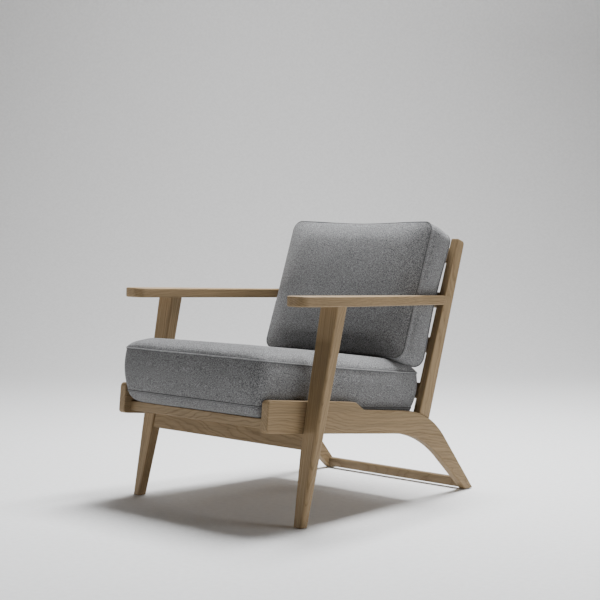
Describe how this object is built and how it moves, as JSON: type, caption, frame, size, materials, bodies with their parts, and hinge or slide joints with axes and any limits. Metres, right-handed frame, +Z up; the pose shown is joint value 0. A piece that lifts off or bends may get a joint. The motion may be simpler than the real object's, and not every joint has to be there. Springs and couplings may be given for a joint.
{
  "type": "wooden armchair",
  "caption": "Low wooden armchair with open slatted back, paddle armrests, splayed legs, sled-like curved rear legs and loose seat and back cushions.",
  "frame": {"origin": "on the floor, under the middle of the chair's bounding box", "axes": "+Z up, -Y the way the sitter faces, +X to the sitter's left"},
  "size_m": [0.7542, 0.8861, 0.8113],
  "materials": {
    "oak": "matt oiled, light grey-brown oak with a flowing grain",
    "hidden_wood": "plain sawn, lightly sealed",
    "dowels": "plain fluted beech",
    "upholstery": "woven heathered mid grey",
    "cushion_filling": "foam wrapped in wadding",
    "zip": "matt coil zip",
    "fasteners": "zinc plated",
    "glides": "matt hard plastic"
  },
  "bodies": {
    "frame": {"arm_dowels": "dowels", "back_slat_1": "oak", "back_slat_2": "oak", "back_slat_3": "oak", "back_slat_4": "oak", "foot_glides": "glides", "front_apron": "oak", "front_seat_rail": "oak", "ledger_screws": "fasteners", "left_armrest": "oak", "left_back_post": "oak", "left_front_leg": "oak", "left_seat_ledger": "hidden_wood", "left_side_rail": "oak", "leg_bolts": "fasteners", "leg_inserts": "fasteners", "rear_foot_stretcher": "oak", "rear_seat_rail": "hidden_wood", "right_armrest": "oak", "right_back_post": "oak", "right_front_leg": "oak", "right_seat_ledger": "hidden_wood", "right_side_rail": "oak", "seat_slat_1": "hidden_wood", "seat_slat_2": "hidden_wood", "seat_slat_3": "hidden_wood", "seat_slat_4": "hidden_wood", "seat_slat_5": "hidden_wood", "seat_slat_6": "hidden_wood", "seat_slat_screws": "fasteners"},
    "seat_cushion": {"seat_cushion_core": "cushion_filling", "seat_cushion_cover": "upholstery", "seat_cushion_zip": "zip"},
    "back_cushion": {"back_cushion_core": "cushion_filling", "back_cushion_cover": "upholstery", "back_cushion_zip": "zip"}
  },
  "joints": [
    {"name": "seat_cushion_slide", "type": "slide", "parent": "frame", "child": "seat_cushion", "axis": [0, -0.9947, 0.103], "range_m": [0, 0.6]},
    {"name": "back_cushion_lift", "type": "slide", "parent": "frame", "child": "back_cushion", "axis": [0, 0.33, 0.944], "range_m": [0, 0.5]}
  ]
}
